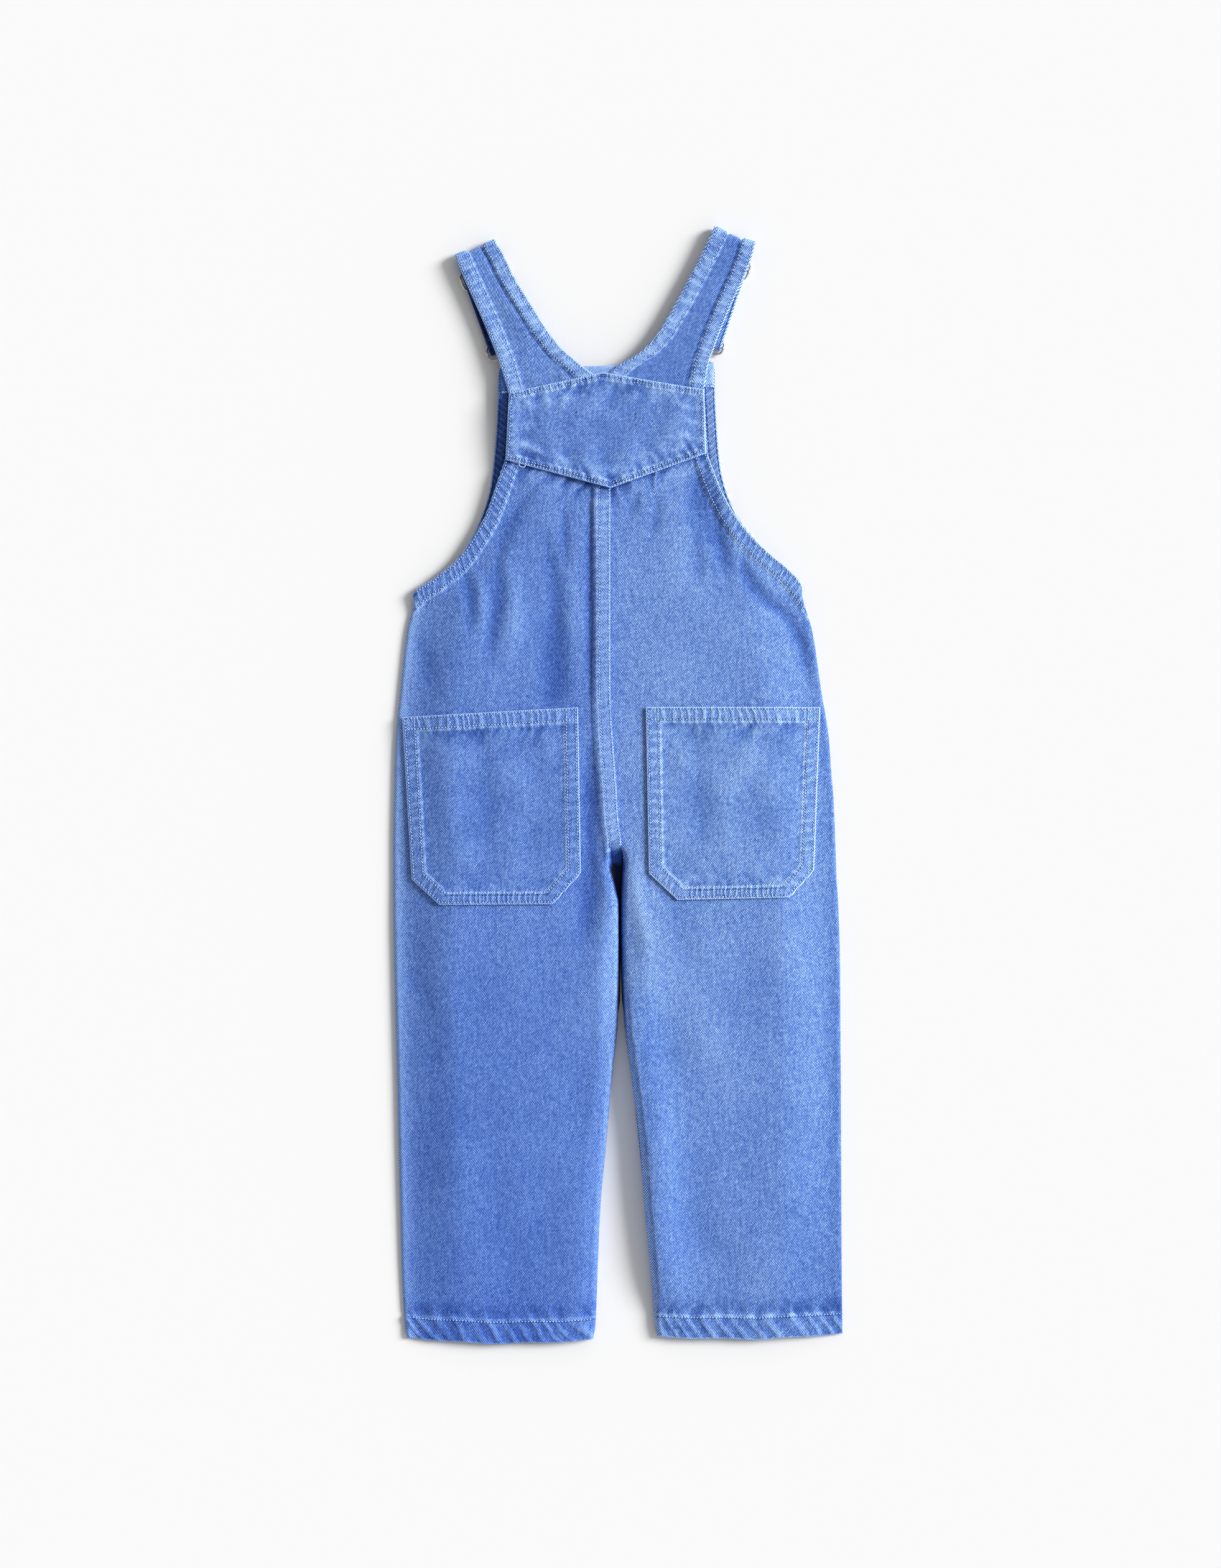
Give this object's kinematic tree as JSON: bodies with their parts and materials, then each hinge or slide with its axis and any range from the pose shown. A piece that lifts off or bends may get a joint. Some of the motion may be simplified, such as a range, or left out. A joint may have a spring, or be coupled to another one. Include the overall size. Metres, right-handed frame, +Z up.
{
  "type": "kids dungarees",
  "caption": "Child's denim dungarees lying flat with the back up, braces fastened by wire hooks and sliders, with back patch pockets, a pointed back yoke and straight open legs.",
  "frame": {"origin": "centre of the garment's outline, on the surface that it lies on", "axes": "+X to the right as seen from above, +Y from the leg hems to the shoulder folds, +Z up off the surface, out of the garment's back"},
  "size_m": [0.3132, 0.7736, 0.0105],
  "materials": {
    "denim": "washed twill denim",
    "metal": "polished nickel wire"
  },
  "bodies": {
    "root": {"front_left": "denim", "front_right": "denim", "bib_facing": "denim", "back_left": "denim", "back_right": "denim", "pocket_left": "denim", "pocket_right": "denim", "yoke": "denim", "strap_left": "denim", "strap_right": "denim", "slider_left": "metal", "slider_right": "metal", "hook_left": "metal", "hook_right": "metal", "button_left": "metal", "button_right": "metal"}
  },
  "joints": []
}
